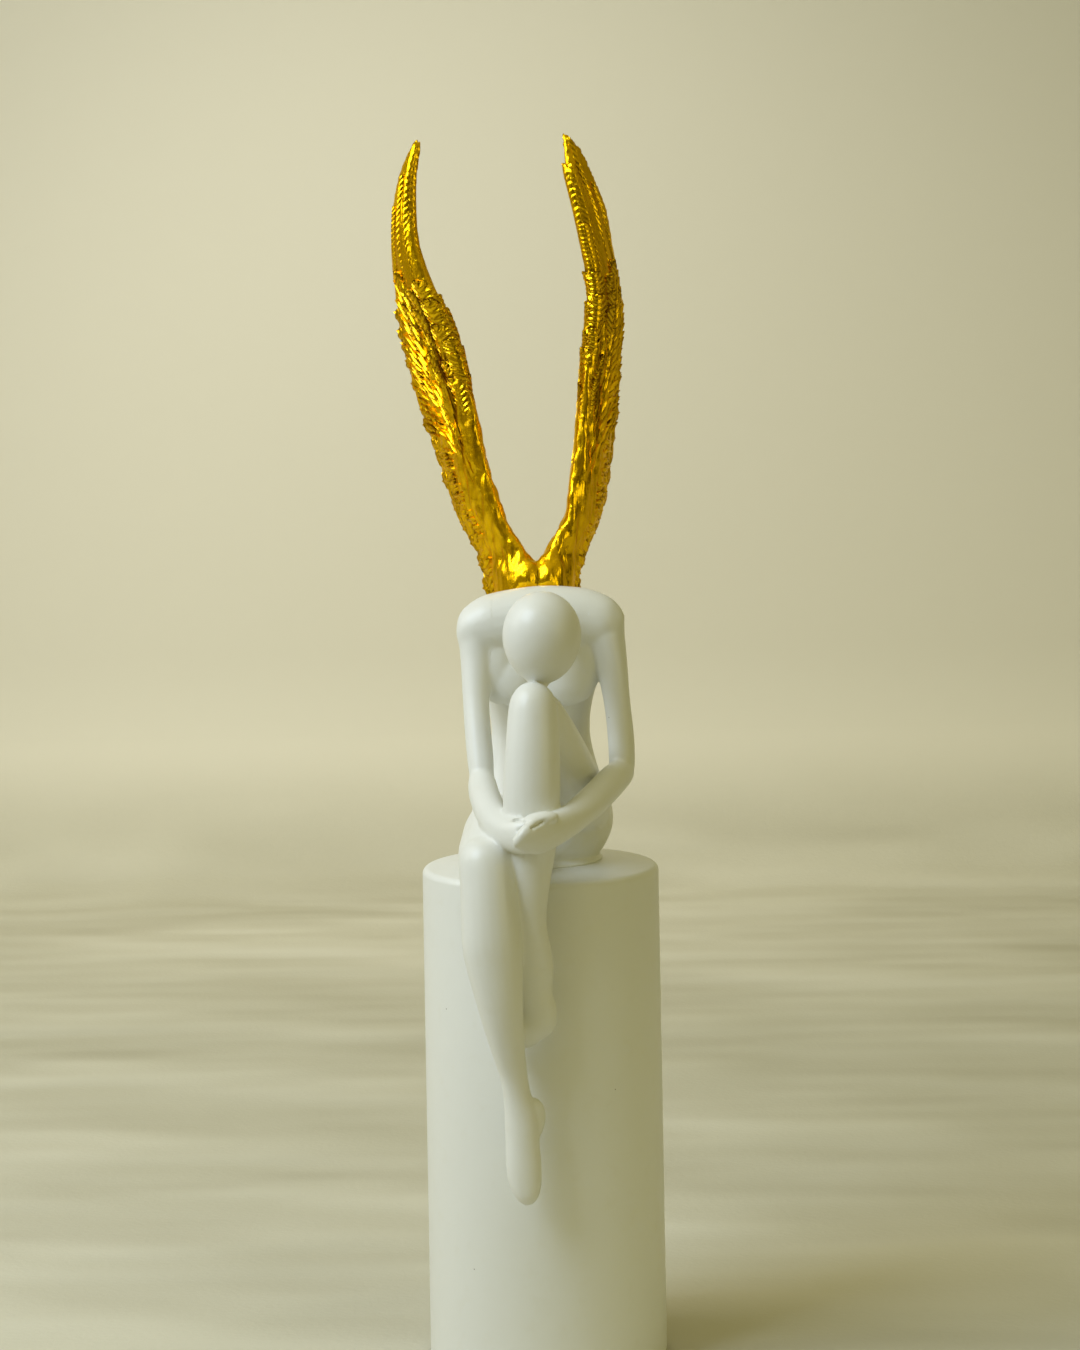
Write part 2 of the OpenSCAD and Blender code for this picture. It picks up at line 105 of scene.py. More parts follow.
# ---------------------------------------------------------------- shader expressions
class Value:
    """A node's output. Arithmetic on it adds Math nodes."""

    def __init__(self, finish, output):
        self.finish = finish
        self.output = output

    def math(self, operation, *values):
        sockets = dict(enumerate(values))
        return self.finish.node("ShaderNodeMath", {"operation": operation}, sockets)

    def __add__(self, other):
        return self.math("ADD", self, other)

    def __sub__(self, other):
        return self.math("SUBTRACT", self, other)

    def __rsub__(self, other):
        return self.math("SUBTRACT", other, self)

    def __mul__(self, other):
        return self.math("MULTIPLY", self, other)

    def __gt__(self, other):
        return self.math("GREATER_THAN", self, other)

    __radd__ = __add__
    __rmul__ = __mul__

    def sine(self):
        return self.math("SINE", self)

    def power(self, other):
        return self.math("POWER", self, other)

    def between(self, low, high):
        settings = {"interpolation_type": "SMOOTHSTEP"}
        sockets = {"Value": self, "From Min": low, "From Max": high}
        return self.finish.node("ShaderNodeMapRange", settings, sockets)


class Nodes:
    """A shader tree and the places it is evaluated at."""

    def __init__(self, tree, place):
        self.tree = tree
        self.place = self.node("ShaderNodeTexCoord", output=place)

    def node(self, kind, settings=None, sockets=None, output=0):
        node = self.tree.nodes.new(kind)
        for key, value in (settings or {}).items():
            setattr(node, key, value)
        for key, value in (sockets or {}).items():
            self.feed(node.inputs[key], value)
        return Value(self, node.outputs[output])

    def feed(self, socket, value):
        if isinstance(value, Value):
            self.tree.links.new(value.output, socket)
        else:
            socket.default_value = value

    def noise(self, size, detail, stretch=None):
        """Clouds about one size across, in metres, and longer along an axis whose stretch is below 1."""
        place = self.place
        if stretch:
            place = self.node("ShaderNodeMapping", None, {"Vector": place, "Scale": stretch})
        sockets = {"Vector": place, "Scale": 1 / size, "Detail": detail}
        return self.node("ShaderNodeTexNoise", None, sockets, "Fac")

    def cells(self, size, output="Distance"):
        """Cells of a size in metres: the distance from each one's point, or a colour for each."""
        return self.node("ShaderNodeTexVoronoi", None, {"Vector": self.place, "Scale": 1 / size}, output)

    def openness(self, distance):
        """1 on an open surface, falling to 0 in hollows narrower than the distance."""
        settings = {"samples": 6, "only_local": True}
        return self.node("ShaderNodeAmbientOcclusion", settings, {"Distance": distance}, "AO")

    def axes(self, vector=None):
        split = self.node("ShaderNodeSeparateXYZ", None, {0: vector or self.place})
        outputs = split.output.node.outputs
        return [Value(self, outputs[i]) for i in range(3)]

    def mix(self, factor, first, second):
        sockets = {"Factor": factor, 6: first, 7: second}
        return self.node("ShaderNodeMix", {"data_type": "RGBA"}, sockets, 2)


class Finish(Nodes):
    """A procedural material round one Principled shader."""

    def __init__(self, name, **constants):
        self.material = bpy.data.materials.new(name)
        self.material.use_nodes = True
        super().__init__(self.material.node_tree, "Object")
        self.shader = self.tree.nodes["Principled BSDF"]
        for socket, value in constants.items():
            self.shader.inputs[socket.replace("_", " ")].default_value = value

    def bump(self, height, depth):
        sockets = {"Height": height, "Distance": depth, "Strength": 1.0}
        normal = self.node("ShaderNodeBump", None, sockets)
        self.feed(self.shader.inputs["Normal"], normal)

    def set(self, **links):
        for socket, value in links.items():
            self.feed(self.shader.inputs[socket.replace("_", " ")], value)


def light_room():
    """Room round the trophy: a pale ceiling, a lighter left side and darker patches towards the right."""
    world = bpy.data.worlds.new("room")
    world.use_nodes = True
    room = Nodes(world.node_tree, "Generated")
    x, y, z = room.axes()
    ceiling = z.between(0.2, 0.95)
    left = (0 - x).between(-0.5, 0.9)
    patches = room.noise(0.5, 1).between(0.46, 0.58)
    background = world.node_tree.nodes["Background"]
    tint = room.mix(ceiling, (1.0, 0.86, 0.16, 1), (1.0, 0.92, 0.46, 1))
    room.feed(background.inputs["Color"], tint)
    room.feed(background.inputs["Strength"], 0.04 + ceiling * 0.42 + left * 0.12 + patches * 0.14)
    bpy.context.scene.world = world


def white_paint():
    """Satin paint over resin: slightly uneven gloss, orange peel, a few dark pinholes and painted shade in
    its creases.
    """
    tint = (0.80, 0.81, 0.785)
    finish = Finish("white_paint", Specular_IOR_Level=0.5, Coat_Roughness=0.22)
    cloud = finish.noise(30 * MM, 3)
    peel = finish.noise(1.1 * MM, 2)
    brushed = finish.noise(7 * MM, 4)
    pores = finish.cells(9 * MM)
    chosen = finish.axes(finish.cells(9 * MM, "Color"))[0] > 0.8
    pinhole = (1 - pores.between(0.018, 0.036)) * chosen
    paint = finish.mix(cloud, (*tint, 1), (*[c * 0.965 for c in tint], 1))
    paint = finish.mix(brushed.between(0.55, 0.8) * 0.25, paint, (0.74, 0.73, 0.66, 1))
    # Painted shade: the paint turns a darker brown in creases and hollows narrower than 1.6 mm.
    open_sky = finish.openness(1.6 * MM)
    paint = finish.mix((1 - open_sky.between(0.12, 0.5)) * 0.75, paint, (0.30, 0.25, 0.17, 1))
    finish.set(Base_Color=finish.mix(pinhole * 0.8, paint, (0.16, 0.13, 0.1, 1)))
    finish.set(Roughness=0.34 + cloud * 0.1 + peel * 0.05, Coat_Weight=0.12 + brushed * 0.1)
    finish.bump(peel * 0.18 + brushed * 0.5 - pinhole * 2.5, 0.08 * MM)
    return finish.material


def gold_plate():
    """Bright gold plate with painted shade: dark in the hollows between feathers and bright on what stands
    proud.
    """
    finish = Finish("gold_plate", Metallic=1.0, Specular_Tint=(1.0, 0.8, 0.3, 1), Coat_Weight=0.1,
                    Coat_Roughness=0.12)
    cloud = finish.noise(8 * MM, 3)
    hammer = finish.noise(4 * MM, 2)
    grain = finish.noise(0.8 * MM, 3, stretch=(1, 1, 0.2))
    line = finish.noise(1.8 * MM, 2, stretch=(1, 1, 0.2 * 0.4))
    # Painted shade: the gold's colour turns dark brown in hollows narrower than 1.8 mm and stays bright on
    # what stands proud.
    open_sky = finish.openness(1.8 * MM).power(2.6)
    gold_with_painted_shade = finish.mix(open_sky, (0.10, 0.03, 0.001, 1), (1.0, 0.60, 0.004, 1))
    finish.set(Base_Color=finish.mix(cloud.between(0.5, 0.8) * 0.4, gold_with_painted_shade, (0.55, 0.29, 0.003, 1)))
    finish.set(Roughness=0.19 + cloud * 0.12 + (1 - open_sky) * 0.06)
    finish.bump(grain * 0.35 + line * 1.0 + hammer * 1.4, 0.25 * MM)
    return finish.material


def board():
    """Raw fibreboard: fine short fibres and a faint wax mottling."""
    finish = Finish("base_board", Specular_IOR_Level=0.3)
    fibre = finish.noise(0.7 * MM, 5, stretch=(1, 0.35, 1))
    mottle = finish.noise(12 * MM, 3)
    brown = finish.mix(fibre, (0.23, 0.13, 0.065, 1), (0.40, 0.25, 0.13, 1))
    finish.set(Base_Color=finish.mix(mottle * 0.4, brown, (0.27, 0.17, 0.09, 1)))
    finish.set(Roughness=0.72 + fibre * 0.2)
    finish.bump(fibre, 0.12 * MM)
    return finish.material


def felt():
    """Dark green wool felt with tangled hairs."""
    finish = Finish("felt", Sheen_Weight=0.6, Sheen_Roughness=0.5, Specular_IOR_Level=0.1)
    hair = finish.noise(0.5 * MM, 6, stretch=(1, 0.3, 1))
    tuft = finish.noise(2.5 * MM, 4)
    finish.set(Base_Color=finish.mix(hair, (0.012, 0.035, 0.02, 1), (0.05, 0.115, 0.07, 1)))
    finish.set(Roughness=0.9 + tuft * 0.1)
    finish.bump(hair + tuft * 1.4, 0.3 * MM)
    return finish.material


def cast_iron():
    """Sand-cast iron: coarse grain, with rust in cloudy patches."""
    finish = Finish("iron", Metallic=0.85)
    sand = finish.noise(1.2 * MM, 6)
    rust = finish.noise(9 * MM, 5).between(0.55, 0.72)
    grey = finish.mix(sand, (0.05, 0.05, 0.052, 1), (0.14, 0.14, 0.145, 1))
    finish.set(Base_Color=finish.mix(rust * 0.7, grey, (0.19, 0.07, 0.025, 1)), Roughness=0.55 + rust * 0.35)
    finish.bump(sand, 0.35 * MM)
    return finish.material


def turned_metal(name, dark, bright, radius_share):
    """Turned and plated bar: fine lathe rings, handling marks and a cloudy plating."""
    finish = Finish(name, Metallic=1.0)
    x, y, z = finish.axes()
    lathe = ((z + (x * x + y * y).power(0.5) * radius_share) * (2 * math.pi / (0.35 * MM))).sine()
    cloud = finish.noise(3 * MM, 4)
    rub = finish.noise(0.9 * MM, 5, stretch=(1, 1, 0.2)).between(0.58, 0.66)
    metal = finish.mix(cloud, (*dark, 1), (*bright, 1))
    finish.set(Base_Color=finish.mix(rub * 0.5, metal, (*[c * 0.55 for c in dark], 1)))
    finish.set(Roughness=0.24 + cloud * 0.2 + rub * 0.2)
    finish.bump(lathe * 0.4 + rub * -0.6, 0.025 * MM)
    return finish.material


def stage_paint():
    """Painted wall above a pale table cloth with a few soft creases."""
    finish = Finish("stage_paint", Roughness=0.9, Specular_IOR_Level=0.1)
    table = 1 - finish.axes()[2].between(0.02, 0.1)
    crease = finish.noise(0.2, 2, stretch=(0.6, 1.6, 1))
    weave = finish.noise(3 * MM, 3)
    # Painted shade: the cloth is darker in the valleys of its creases and paler on their ridges.
    cloth = finish.mix(crease.between(0.4, 0.62), (0.57, 0.55, 0.45, 1), (0.64, 0.62, 0.52, 1))
    finish.set(Base_Color=finish.mix(table, (0.74, 0.71, 0.60, 1), cloth))
    finish.bump(table * (crease * 30 + weave * 0.2), 1.2 * MM)
    return finish.material


# ---------------------------------------------------------------- mesh tools
WELD_DISTANCE = 0.01 * MM
SHARP_ANGLE = 50 * DEG


def deselect():
    bpy.ops.object.select_all(action="DESELECT")


def choose(piece):
    deselect()
    piece.hide_viewport = False
    piece.select_set(True)
    bpy.context.view_layer.objects.active = piece


def modify(piece, kind, **settings):
    """Adds a modifier and applies it."""
    choose(piece)
    modifier = piece.modifiers.new(kind.lower(), kind)
    for key, value in settings.items():
        setattr(modifier, key, value)
    bpy.ops.object.modifier_apply(modifier=modifier.name)


def join(pieces, name):
    choose(pieces[0])
    for piece in pieces:
        piece.select_set(True)
    bpy.ops.object.join()
    pieces[0].name = name
    return pieces[0]


def settle(piece):
    """Puts a piece's place into its mesh, so that its object sits at the origin."""
    choose(piece)
    bpy.ops.object.transform_apply(location=True, rotation=True, scale=True)


def weld(piece):
    """Joins the loose triangles of a copied solid into one skin."""
    choose(piece)
    bpy.ops.object.mode_set(mode="EDIT")
    bpy.ops.mesh.select_all(action="SELECT")
    bpy.ops.mesh.remove_doubles(threshold=WELD_DISTANCE)
    bpy.ops.mesh.normals_make_consistent(inside=False)
    bpy.ops.object.mode_set(mode="OBJECT")


def duplicate(piece):
    """Copy of a piece with its own mesh."""
    copy = piece.copy()
    copy.data = piece.data.copy()
    bpy.context.scene.collection.objects.link(copy)
    return copy


def copy_node(node, name):
    """Free, welded copy of a node's solid."""
    piece = duplicate(nodes[node])
    for key in list(piece.keys()):
        del piece[key]
    piece.parent = None
    piece.name = name
    weld(piece)
    return piece


def blob(place, size, turn=(0, 0, 0)):
    """Ellipsoid with half-sizes in millimetres, used to fill and swell the casting."""
    deselect()
    bpy.ops.mesh.primitive_uv_sphere_add(segments=24, ring_count=14, radius=MM)
    piece = bpy.context.active_object
    piece.scale = size
    piece.rotation_euler = [angle * DEG for angle in turn]
    piece.location = [c * MM for c in place]
    settle(piece)
    return piece


def drop_islands(piece):
    """Keeps only the outer skin: what is joined to the highest vertex."""
    choose(piece)
    mesh = piece.data
    highest = max(range(len(mesh.vertices)), key=lambda i: mesh.vertices[i].co.z)
    bpy.ops.object.mode_set(mode="EDIT")
    bpy.ops.mesh.select_mode(type="VERT")
    bpy.ops.mesh.select_all(action="DESELECT")
    bpy.ops.object.mode_set(mode="OBJECT")
    mesh.vertices[highest].select = True
    bpy.ops.object.mode_set(mode="EDIT")
    bpy.ops.mesh.select_linked()
    bpy.ops.mesh.select_all(action="INVERT")
    bpy.ops.mesh.delete(type="VERT")
    bpy.ops.object.mode_set(mode="OBJECT")


def weigh(piece, name, weight):
    """Vertex group whose weight at each vertex is weight(place in millimetres)."""
    group = piece.vertex_groups.new(name=name)
    for vertex in piece.data.vertices:
        group.add([vertex.index], weight(vertex.co / MM), "REPLACE")


def pick_edges(piece, wanted):
    """Goes into edit mode with only those edges selected whose both ends are wanted."""
    choose(piece)
    bpy.ops.object.mode_set(mode="EDIT")
    bpy.ops.mesh.select_mode(type="EDGE")
    bpy.ops.mesh.select_all(action="DESELECT")
    bpy.ops.object.mode_set(mode="OBJECT")
    for edge in piece.data.edges:
        edge.select = all(wanted(piece.data.vertices[i].co) for i in edge.vertices)
    bpy.ops.object.mode_set(mode="EDIT")


def cut_with(piece, tool, operation):
    modify(piece, "BOOLEAN", object=tool, operation=operation, solver="MANIFOLD")


def finish_piece(piece, name, material, body, replaced):
    """Names a piece, gives it its material, ties it to its body and hides the nodes it stands for."""
    piece.name = name
    piece.data.name = name
    piece.data.materials.clear()
    piece.data.materials.append(material)
    for polygon in piece.data.polygons:
        polygon.material_index = 0
    choose(piece)
    bpy.ops.object.shade_smooth_by_angle(angle=SHARP_ANGLE)
    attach(piece, body)
    if replaced:
        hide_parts(*replaced)


# ---------------------------------------------------------------- stage
TABLE = (3, -0.65, 1.15)    # half-width, front edge and the wall behind
WALL_HEIGHT = 2.4
COVE_RADIUS = 0.16


def make_stage():
    """Table top that sweeps up into the wall through a cove."""
    half, front, back = TABLE
    deselect()
    bpy.ops.mesh.primitive_plane_add(size=1, location=(0, (front + back) / 2, 0))
    stage = bpy.context.active_object
    stage.name = "stage"
    stage.scale = (2 * half, back - front, 1)
    settle(stage)
    pick_edges(stage, lambda place: place.y > 0.9 * back)
    bpy.ops.mesh.extrude_region_move(TRANSFORM_OT_translate={"value": (0, 0, WALL_HEIGHT)})
    bpy.ops.object.mode_set(mode="OBJECT")
    pick_edges(stage, lambda place: place.y > 0.9 * back and place.z < 0.01)
    bpy.ops.mesh.bevel(offset=COVE_RADIUS, segments=16)
    bpy.ops.object.mode_set(mode="OBJECT")
    bpy.ops.object.shade_smooth()
    stage.data.materials.append(stage_paint())


# ---------------------------------------------------------------- figure
COLUMN_TAPER = 0.75 * MM
RIM_RADIUS = 2.6 * MM
VOXEL = 0.6 * MM
CASTINGS = ["left_arm", "right_arm", "hanging_leg", "raised_leg"]
# What fills and swells each casting: place, half-sizes and turn
FILLS = {
    "head": [((0.4, -47.6, 266.2), (3.7, 3.9, 4), (12, 0, 0))],
    "left_arm": [((0.5, -76.2, 220.2), (6.5, 3.8, 2.4), (0, -6, 10))],
    "torso": [((-15, 0.4, 270), (9, 8, 17)), ((15.5, 0.4, 270), (9, 7.6, 17)),
              ((2, 15, 191.4), (22.5, 26, 2.2))],
}
# How far each casting's solid is grown, in millimetres, before it cuts its skin out of the filled figure
PART_GROWTH = {"head": 0.4, "left_arm": 1, "right_arm": 1, "hanging_leg": 1, "raised_leg": 1}
# Ends of two creases, in millimetres: between thumb and hand, and on the wrist beside them
CREASES = [(Vector((-8.1, -77, 215.6)), Vector((2.3, -77, 220.1))),
           (Vector((-10.5, -75, 219)), Vector((-6.5, -75, 219.6)))]


def soft_weight(place):
    """How much the surface is softened: less at the hands, whose edges stay crisp."""
    hands = Vector((-3, -76, 215))
    near = max(0.0, 1 - (place - hands).length / 18)
    return 1 - 0.75 * min(1, near * 2)


def shoulder_weight(place):
    """Extra softening over the outer corners of the shoulders."""
    return max(0.0, 1 - (Vector((abs(place.x), place.y, place.z)) - Vector((30, 6, 284))).length / 16)


def press_crease(piece, start, end):
    """Narrow groove pressed along the line between two places, in millimetres."""
    line = end - start
    normals = [vertex.normal.copy() for vertex in piece.data.vertices]
    for vertex, normal in zip(piece.data.vertices, normals):
        away = vertex.co / MM - start
        if away.length < line.length + 8:
            t = max(0.0, min(1.0, away.dot(line) / line.length_squared))
            gap = away - line * t
            across = math.hypot(gap.x, gap.z)
            if abs(gap.y) < 6 and across < 2:
                depth = 1.1 * math.exp(-((across / 0.5) ** 2)) * min(1, 6 * t + 0.3, 6 * (1 - t) + 0.3)
                vertex.co -= normal * depth * MM


def casting(name):
    """Copy of a casting's solid with its fills."""
    fills = [blob(*fill) for fill in FILLS.get(name, [])]
    return join([copy_node(name, name + "_solid"), *fills], name + "_solid")


def part_figure(figure):
    """Parts the filled and smoothed figure again where its castings meet, so each is its own closed piece."""
    pieces = {}
    for name in ["head", *CASTINGS]:
        tool = casting(name)
        modify(tool, "REMESH", mode="VOXEL", voxel_size=1 * MM)
        drop_islands(tool)
        modify(tool, "DISPLACE", strength=PART_GROWTH[name] * MM, mid_level=0)
        piece = duplicate(figure)
        cut_with(piece, tool, "INTERSECT")
        cut_with(figure, tool, "DIFFERENCE")
        bpy.data.objects.remove(tool)
        pieces[name] = piece
    pieces["torso"] = figure
    for piece in pieces.values():
        drop_islands(piece)
    return pieces


def make_figure():
    """All castings filled and smoothed into one skin."""
    figure = join([casting(name) for name in ["torso", "head", *CASTINGS]], "figure")
    modify(figure, "REMESH", mode="VOXEL", voxel_size=VOXEL)
    drop_islands(figure)
    weigh(figure, "soft", soft_weight)
    modify(figure, "SMOOTH", factor=0.5, iterations=24, vertex_group="soft")
    weigh(figure, "shoulders", shoulder_weight)
    modify(figure, "SMOOTH", factor=0.5, iterations=120, vertex_group="shoulders")
    modify(figure, "DISPLACE", strength=0.18 * MM, mid_level=0)
    for start, end in CREASES:
        press_crease(figure, start, end)
    return figure


def make_column():
    """Round column, slightly narrower at its top, with a rounded rim."""
    low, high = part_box("pedestal_shell")
    foot_r = high.x
    top_r = foot_r - COLUMN_TAPER
    deselect()
    bpy.ops.mesh.primitive_cylinder_add(vertices=192, radius=foot_r, depth=high.z - low.z,
                                        location=(0, 0, (low.z + high.z) / 2), end_fill_type="NGON")
    column = bpy.context.active_object
    settle(column)
    bpy.ops.object.mode_set(mode="EDIT")
    bpy.ops.mesh.select_all(action="DESELECT")
    bpy.ops.mesh.select_mode(type="FACE")
    bpy.ops.object.mode_set(mode="OBJECT")
    for polygon in column.data.polygons:
        polygon.select = polygon.normal.z > 0.9
    bpy.ops.object.mode_set(mode="EDIT")
    bpy.ops.transform.resize(value=(top_r / foot_r, top_r / foot_r, 1))
    bpy.ops.mesh.bevel(offset=RIM_RADIUS, segments=8, profile=0.5)
    bpy.ops.object.mode_set(mode="OBJECT")
    return column


# ---------------------------------------------------------------- wings
RING_POINTS = 30    # fewest vertices in a whole ring of a wing's solid
RING_START = 302    # below this height, in millimetres, the rings belong to the root
NOSE = 0.22         # share of the chord in which the outward direction turns round the leading edge
SHAFT = 0.25        # height of a feather's shaft, in millimetres
FLUTED = (292, 412) # heights between which the core is fluted, in millimetres
HALF_SPACE = 150    # half-size of the block that parts the wings, in millimetres
SEAM_GAP = 0.01     # half the gap that it leaves between them
SIDES = {"right_wing": -1, "left_wing": 1}
SEEDS = {"right_wing": 3, "left_wing": 8}
# Ridges of the flight feathers: lowest point, chord share, length, width and how far the tip stands off
QUILLS = {
    "right_wing": [(396, 0.10, 70, 3.4, 0.8), (394, 0.42, 60, 3, 0.9), (392, 0.72, 50, 3, 0.9)],
    "left_wing": [(396, 0.45, 71, 3.4, 0.8), (394, 0.10, 63, 3.2, 1.2), (392, 0.02, 42, 3.0, 1.3),
                  (394, 0.74, 56, 3, 0.7)],
}


class Blade:
    """Places on a wing's core. A place is a height and a share of the chord, from 0 at the leading edge
    to 1 at the trailing edge, positive on the outer face and negative on the inner face."""

    def __init__(self, core, node, side):
        levels = {}
        for vertex in nodes[node].data.vertices:
            levels.setdefault(round(vertex.co.z / MM, 1), []).append(vertex.co)
        rings = [(z, ring) for z, ring in sorted(levels.items()) if len(ring) >= RING_POINTS]
        whole = [(z, ring) for z, ring in rings if z > RING_START]
        self.heights = [z * MM for z, _ in whole]
        self.leads = [min(ring, key=lambda p: p.y).copy() for _, ring in whole]
        self.trails = [max(ring, key=lambda p: p.y).copy() for _, ring in whole]
        self.side = side
        self.tree = BVHTree.FromObject(core, bpy.context.evaluated_depsgraph_get())

    def along(self, points, z):
        heights = self.heights
        i = max(0, min(len(heights) - 2, bisect(heights, z) - 1))
        share = (z - heights[i]) / (heights[i + 1] - heights[i])
        if z < heights[0]:
            share *= 0.4
        point = points[i].lerp(points[i + 1], share)
        return Vector((point.x, point.y, z))

    def chord(self, z):
        lead = self.along(self.leads, z)
        return lead, self.along(self.trails, z) - lead

    def outward(self, back):
        across = back.cross(UP)
        return across if across.x * self.side > 0 else -across

    def place(self, z, share):
        """The surface point and the outward direction there."""
        lead, chord = self.chord(z)
        back = chord.normalized()
        out = self.outward(back)
        face = 1 if share >= 0 else -1
        depth = abs(share)
        if depth >= NOSE:
            centre = lead + chord * depth
            aim = out * face
        else:
            angle = depth / NOSE * math.pi / 2
            centre = lead + chord * NOSE
            aim = (out * face * math.sin(angle) - back * math.cos(angle)).normalized()
        hit = self.tree.ray_cast(centre + aim * 25 * MM, -aim, 27 * MM)[0]
        if hit is None:
            hit = centre + aim * 0.7 * MM
        return hit, aim


class Feather:
    """A kind of feather: a slab one unit long and one wide, with its root at the origin and its tip on +Y.
    tip is the rounded share of its length, barbs how many grooves run from its shaft to its edges, depth how
    deep they are in millimetres and slant how steep they run."""

    def __init__(self, name, columns, rows, tip, barbs=1, depth=0, slant=0):
        deselect()
        bpy.ops.mesh.primitive_grid_add(x_subdivisions=columns, y_subdivisions=rows, size=1,
                                        location=(0, 0.5, 0))
        self.slab = bpy.context.active_object
        self.slab.name = name
        settle(self.slab)
        modify(self.slab, "SOLIDIFY", thickness=1, offset=-1)
        self.tip, self.barbs, self.depth, self.slant = tip, barbs, depth, slant

    def outline(self, y):
        rise = 0.62 + 0.38 * math.sin(math.pi / 2 * min(1, y / 0.5))
        if y <= 1 - self.tip:
            return rise
        return rise * max(0.0, 1 - ((y - 1 + self.tip) / self.tip) ** 2.6) ** 0.5 + 0.03

    def groove(self, x, y):
        return math.cos((y - self.slant * abs(x)) * 2 * math.pi * self.barbs) * min(1, abs(x) * 6)


def lay_feather(kind, blade, z, share, turn, length, width, lift, arch, crest):
    """Copy of a feather, wrapped on to the blade. turn is the direction of its tip in degrees: 0 is straight
    back along the chord and 90 is up the wing. Lengths are in millimetres: lift is how far its tip stands
    off, arch how far its edges drop and crest the height of the swelling near its root."""
    mesh = kind.slab.data.copy()
    piece = bpy.data.objects.new(kind.slab.name, mesh)
    bpy.context.scene.collection.objects.link(piece)
    face = 1 if share >= 0 else -1
    cosine, sine = math.cos(turn * DEG), math.sin(turn * DEG)
    spots = {}
    for vertex in mesh.vertices:
        x, y, h = vertex.co
        key = (round(x, 4), round(y, 4))
        if key not in spots:
            groove = kind.groove(x, y)
            across = x * width * kind.outline(y) * (1 + 0.08 * groove * (2 * x) ** 2)
            up = y * length * sine + across * cosine
            back = y * length * cosine - across * sine
            chord = blade.chord((z + up) * MM)[1].length / MM
            point, out = blade.place((z + up) * MM, share + face * back / chord)
            height = lift * y ** 1.2 - 0.4 * (1 - y) ** 2 - arch * (2 * x) ** 2 + kind.depth * groove
            height += crest * math.exp(-(((y - 0.3) / 0.22) ** 2)) + SHAFT * math.exp(-((x / 0.1) ** 2))
            spots[key] = point, out, height
        point, out, height = spots[key]
        vertex.co = point + out * (height if h > -0.5 else -0.7) * MM
    if face * blade.side > 0:
        mesh.flip_normals()    # the wrap is mirrored there
    return piece


def lay_row(pattern, blade, dice, heights, step, **row):
    """Row of feathers up the wing. Each value of row is a pair, for its lowest and its highest feather."""
    feathers = []
    low, high = heights
    z = low
    while z < high:
        t = (z - low) / (high - low)
        now = {key: first + (last - first) * t for key, (first, last) in row.items()}
        now["share"] += dice.uniform(-0.03, 0.03)
        now["turn"] += dice.uniform(-10, 10)
        size = dice.uniform(0.84, 1.16)
        for key in ("length", "width", "lift", "crest"):
            now[key] *= size
        feathers.append(lay_feather(pattern, blade, z, **now))
        z += step * dice.uniform(0.8, 1.2)
    return feathers


def make_cores():
    """Both wings' smooth cores, rounded into each other at the saddle and parted again on the seam."""
    right, left = copy_node("right_wing", "right_core"), copy_node("left_wing", "left_core")
    seam = (right.bound_box[4][0] + left.bound_box[0][0]) / 2 / MM
    filler = blob((seam, 24, 287), (2.5, 8, 15))
    both = join([right, left, filler], "cores")
    modify(both, "REMESH", mode="VOXEL", voxel_size=0.8 * MM)
    drop_islands(both)
    weigh(both, "soft", lambda place: max(0.1, min(1.0, (440 - place.z) / 60)))
    modify(both, "SMOOTH", factor=0.5, iterations=14, vertex_group="soft")
    modify(both, "DISPLACE", strength=0.3 * MM, mid_level=0)
    cores = {}
    for node, side in SIDES.items():
        core = duplicate(both)
        deselect()
        bpy.ops.mesh.primitive_cube_add(size=2 * HALF_SPACE * MM,
                                        location=((seam + side * (HALF_SPACE + SEAM_GAP)) * MM, 0, 370 * MM))
        half = bpy.context.active_object
        settle(half)
        cut_with(core, half, "INTERSECT")
        bpy.data.objects.remove(half)
        cores[node] = core
    bpy.data.objects.remove(both)
    return cores


def flute(core):
    """Long soft folds and small dents along the bone, which break up what it mirrors."""
    low, high = FLUTED
    normals = [vertex.normal.copy() for vertex in core.data.vertices]
    for vertex, normal in zip(core.data.vertices, normals):
        x, y, z = vertex.co / MM
        t = max(0.0, min(1.0, (z - low) / 14, (high - z) / 14))
        fold = noise.noise(Vector((x / 3.2, y / 3.2, z / 22)))
        dent = noise.noise(Vector((x / 2.2, y / 2.2, z / 4.5))) * 0.4
        vertex.co += normal * (fold + dent) * t * MM


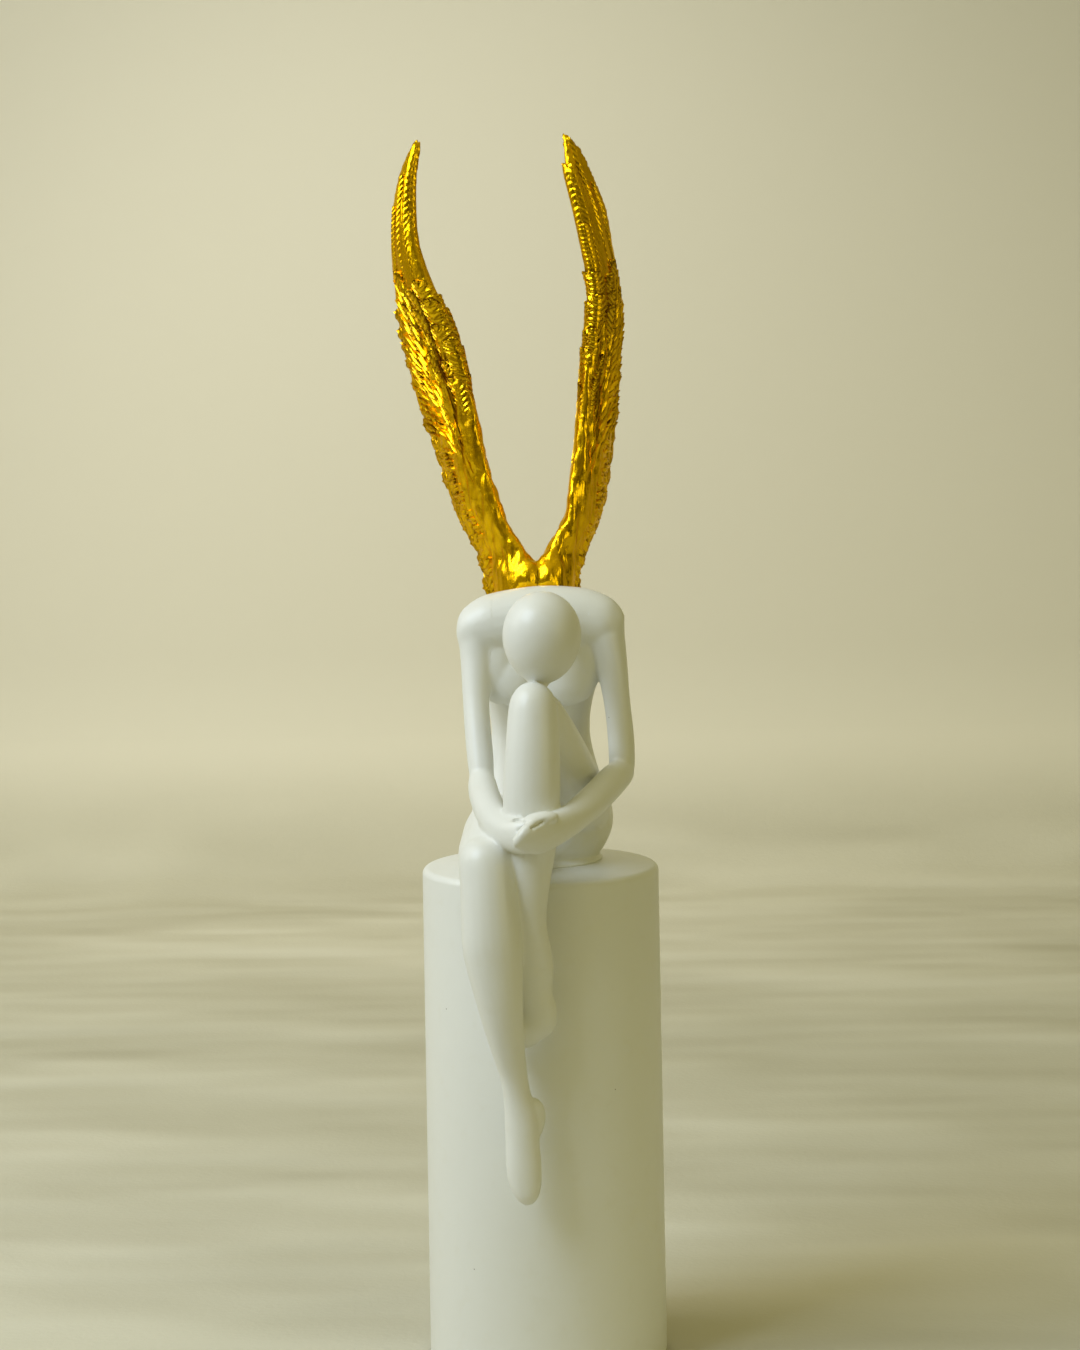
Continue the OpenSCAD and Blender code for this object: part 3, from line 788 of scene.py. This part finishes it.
def make_wing(node, core):
    """Rows of feathers over both faces of a core, which is fluted once they lie on it."""
    dice = random.Random(SEEDS[node])
    blade = Blade(core, node, SIDES[node])
    scale = Feather("scale", 4, 8, 0.5)
    vane = Feather("vane", 8, 18, 0.4, barbs=4, depth=0.32, slant=0.4)
    plume = Feather("plume", 14, 30, 0.45, barbs=7, depth=0.5, slant=0.5)
    quill = Feather("quill", 8, 130, 0.12, barbs=26, depth=0.16, slant=0.07)
    feathers = []
    for face in (1, -1):
        def row(pattern, heights, step, share, **rest):
            share = [face * s for s in share]
            feathers.extend(lay_row(pattern, blade, dice, heights, step, share=share, **rest))

        row(vane, (283, 345), 7.4, (0.72, 0.72), turn=(-26, -8), length=(10, 11), width=(8.4, 8.6),
            lift=(0.8, 0.8), arch=(0.9, 0.7), crest=(0.4, 0.4))
        row(vane, (350, 396), 6, (0.72, 0.70), turn=(6, 56), length=(11, 14), width=(7.4, 6.4),
            lift=(0.8, 0.4), arch=(0.8, 0.8), crest=(0.4, 0.3))
        row(scale, (286, 350), 3.1, (0.56, 0.54), turn=(-36, -10), length=(9, 10), width=(2.8, 3),
            lift=(0.9, 1.1), arch=(1.5, 1.5), crest=(0.6, 1.0))
        row(scale, (353, 408), 2.3, (0.60, 0.56), turn=(14, 64), length=(12, 13), width=(2, 2.2),
            lift=(1.0, 0.6), arch=(1.3, 1.2), crest=(0.8, 0.6))
        row(scale, (316, 350), 3.1, (0.44, 0.42), turn=(-16, 4), length=(7, 8), width=(2.6, 2.8),
            lift=(0.8, 1.0), arch=(1.5, 1.5), crest=(1.0, 1.2))
        row(scale, (353, 404), 2.8, (0.42, 0.38), turn=(26, 68), length=(10, 12), width=(2.2, 2.4),
            lift=(1.3, 1.2), arch=(1.4, 1.3), crest=(0.9, 0.8))
        row(scale, (346, 390), 3.2, (0.26, 0.22), turn=(50, 76), length=(11, 12), width=(2.2, 2.6),
            lift=(1.2, 1.3), arch=(1.2, 1.2), crest=(0.8, 0.8))
        row(scale, (336, 376), 4.2, (0.12, 0.1), turn=(76, 86), length=(15, 15), width=(2, 2.4),
            lift=(0.5, 0.9), arch=(1.1, 1.1), crest=(0.5, 0.7))
        row(plume, (362, 406), 9.5, (0.05, 0.05), turn=(86, 92), length=(14, 14), width=(6, 7),
            lift=(1.0, 1.6), arch=(0.9, 1.0), crest=(0.2, 0.2))
        row(plume, (372, 404), 8, (0.26, 0.24), turn=(80, 88), length=(14, 14), width=(7, 7.4),
            lift=(1.2, 1.6), arch=(0.9, 1.0), crest=(0.3, 0.3))
        row(plume, (384, 406), 9, (0.50, 0.56), turn=(74, 88), length=(13, 16), width=(6.6, 7),
            lift=(1.0, 1.5), arch=(0.9, 1.0), crest=(0.3, 0.3))
        for low, share, length, width, lift in QUILLS[node]:
            feathers.append(lay_feather(quill, blade, low, face * share, 90, length, width, lift, 0.6, 0))
    for kind in (scale, vane, plume, quill):
        bpy.data.objects.remove(kind.slab)
    flute(core)
    return join(feathers, node + "_feathers")


set_camera()
set_lights()
light_room()
make_stage()

white = white_paint()
for name, piece in part_figure(make_figure()).items():
    finish_piece(piece, name + "_skin", white, "trophy", [name])
finish_piece(make_column(), "column", white, "trophy", ["pedestal_shell"])

gold = gold_plate()
for node, core in make_cores().items():
    feathers = make_wing(node, core)
    finish_piece(core, node + "_blade", gold, node + "_unit", [node])
    finish_piece(feathers, node + "_feathers", gold, node + "_unit", [])

steel = turned_metal("zinc_steel", (0.50, 0.52, 0.54), (0.74, 0.75, 0.76), 0.6)
brass = turned_metal("insert_brass", (0.62, 0.40, 0.15), (0.86, 0.62, 0.28), 1.0)
CAD_FINISHES = {
    "base_plate": board(), "felt_pad": felt(), "ballast_disc": cast_iron(),
    "seat_insert": brass, "wing_sockets": brass, "base_screws": steel, "tie_rod": steel,
    "rod_washers": steel, "rod_nuts": steel, "seat_dowels": steel, "neck_pin": steel,
    "shoulder_pins": steel, "hip_pins": steel, "left_wing_pins": steel, "right_wing_pins": steel,
}
for name, material in CAD_FINISHES.items():
    for slot in nodes[name].material_slots:
        slot.material = material
